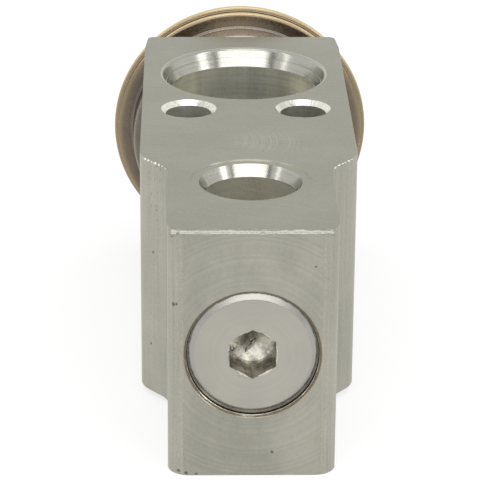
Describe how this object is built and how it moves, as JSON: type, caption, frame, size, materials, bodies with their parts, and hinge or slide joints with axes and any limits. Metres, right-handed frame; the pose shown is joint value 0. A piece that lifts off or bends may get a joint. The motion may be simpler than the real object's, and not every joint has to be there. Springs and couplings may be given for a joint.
{
  "type": "expansion valve",
  "caption": "Block-type thermostatic expansion valve for refrigerant, with a machined aluminium block, a hex-socket adjusting screw and a steel power head.",
  "frame": {"origin": "Middle of the two bolt holes, on the flat evaporator-side face of the block.", "axes": "+Y runs along the valve axis from the adjusting screw to the power head, +Z points out of the pipe-side face, +X is across the block to the right as seen from the adjusting screw."},
  "size_m": [0.0402, 0.094, 0.0401],
  "materials": {
    "block_aluminium": "satin machined and extruded aluminium",
    "screw_metal": "finely turned steel",
    "tinted_steel": "pressed steel with a yellow passivated tint",
    "steel": "ground stainless steel",
    "spring_steel": "bright spring steel",
    "brass": "turned brass",
    "shaft_aluminium": "turned aluminium",
    "resin": "moulded black resin",
    "rubber": "black nitrile rubber"
  },
  "bodies": {
    "block": {"valve_block": "block_aluminium", "valve_seat": "steel", "rod_oring": "rubber", "push_nut": "spring_steel", "power_head_mounting_seat": "steel", "power_head_seal": "rubber", "power_head_lower_housing": "tinted_steel", "diaphragm": "steel", "power_head_upper_housing": "tinted_steel", "charge_plug": "steel"},
    "stem": {"diaphragm_stopper": "steel", "heat_sensing_shaft": "shaft_aluminium", "shaft_sleeve": "resin", "valve_rod": "steel", "valve_ball": "steel", "ball_retainer": "brass", "damping_spring": "spring_steel", "valve_spring": "spring_steel"},
    "screw_seal": {"adjusting_screw_oring": "rubber"},
    "screw": {"adjusting_screw": "screw_metal"}
  },
  "joints": [
    {"name": "valve_lift", "type": "slide", "parent": "block", "child": "stem", "axis": [0, -1, 0], "range_m": [0, 0.0008], "stiffness_N_per_m": 20000, "springref_m": -0.004, "deforming": ["valve_spring", "diaphragm"]},
    {"name": "screw_travel", "type": "slide", "parent": "block", "child": "screw_seal", "axis": [0, 1, 0], "range_m": [0, 0.0015], "deforming": ["valve_spring"]},
    {"name": "screw_turn", "type": "hinge", "parent": "screw_seal", "child": "screw", "pos_m": [0, -0.0467, 0.01725], "axis": [0, 1, 0], "range_deg": [0, 540]}
  ],
  "couplings": [
    {"joint": "screw_turn", "follows": "screw_travel", "rad_per_m": 6283.2}
  ]
}
